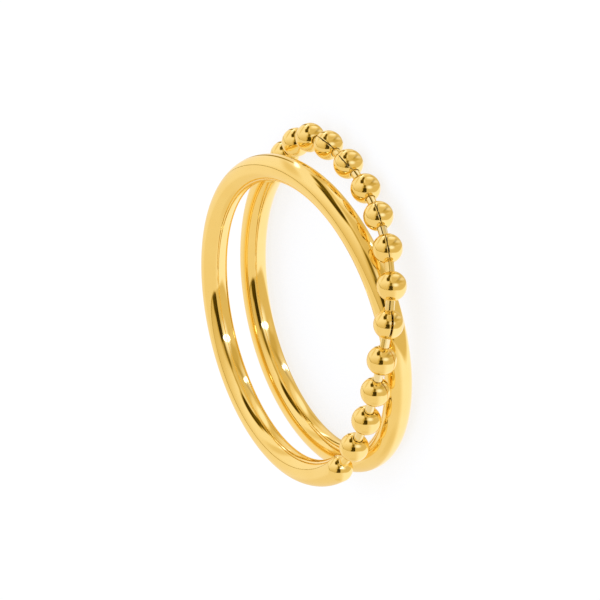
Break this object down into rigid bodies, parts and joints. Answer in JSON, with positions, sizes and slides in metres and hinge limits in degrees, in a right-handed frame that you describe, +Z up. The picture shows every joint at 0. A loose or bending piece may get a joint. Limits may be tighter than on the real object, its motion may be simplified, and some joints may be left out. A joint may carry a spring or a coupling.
{
  "type": "double band crossover ring",
  "caption": "Finger ring of one round wire wound into two hoops that cross once, its two tips joined over the crossing by a strand of small hollow balls on short pins.",
  "frame": {"origin": "on the surface that the ring lies on, under the middle of its outline", "axes": "+Z up, within two degrees of the ring's own axis; +X from the ring's middle towards the crossing of the hoops; +Y completes the frame, towards the end of the strand that joins the lower hoop"},
  "size_m": [0.0224, 0.0214, 0.0047],
  "materials": {
    "band_gold": "mirror polished yellow gold plating",
    "ball_gold": "mirror polished yellow gold plating",
    "pin_gold": "drawn wire, thinner and paler gold plating"
  },
  "bodies": {
    "root": {"band": "band_gold", "ball_01": "ball_gold", "ball_02": "ball_gold", "ball_03": "ball_gold", "ball_04": "ball_gold", "ball_05": "ball_gold", "ball_06": "ball_gold", "ball_07": "ball_gold", "ball_08": "ball_gold", "ball_09": "ball_gold", "ball_10": "ball_gold", "ball_11": "ball_gold", "ball_12": "ball_gold", "ball_13": "ball_gold", "ball_14": "ball_gold", "pin_01": "pin_gold", "pin_02": "pin_gold", "pin_03": "pin_gold", "pin_04": "pin_gold", "pin_05": "pin_gold", "pin_06": "pin_gold", "pin_07": "pin_gold", "pin_08": "pin_gold", "pin_09": "pin_gold", "pin_10": "pin_gold", "pin_11": "pin_gold", "pin_12": "pin_gold", "pin_13": "pin_gold"}
  },
  "joints": []
}
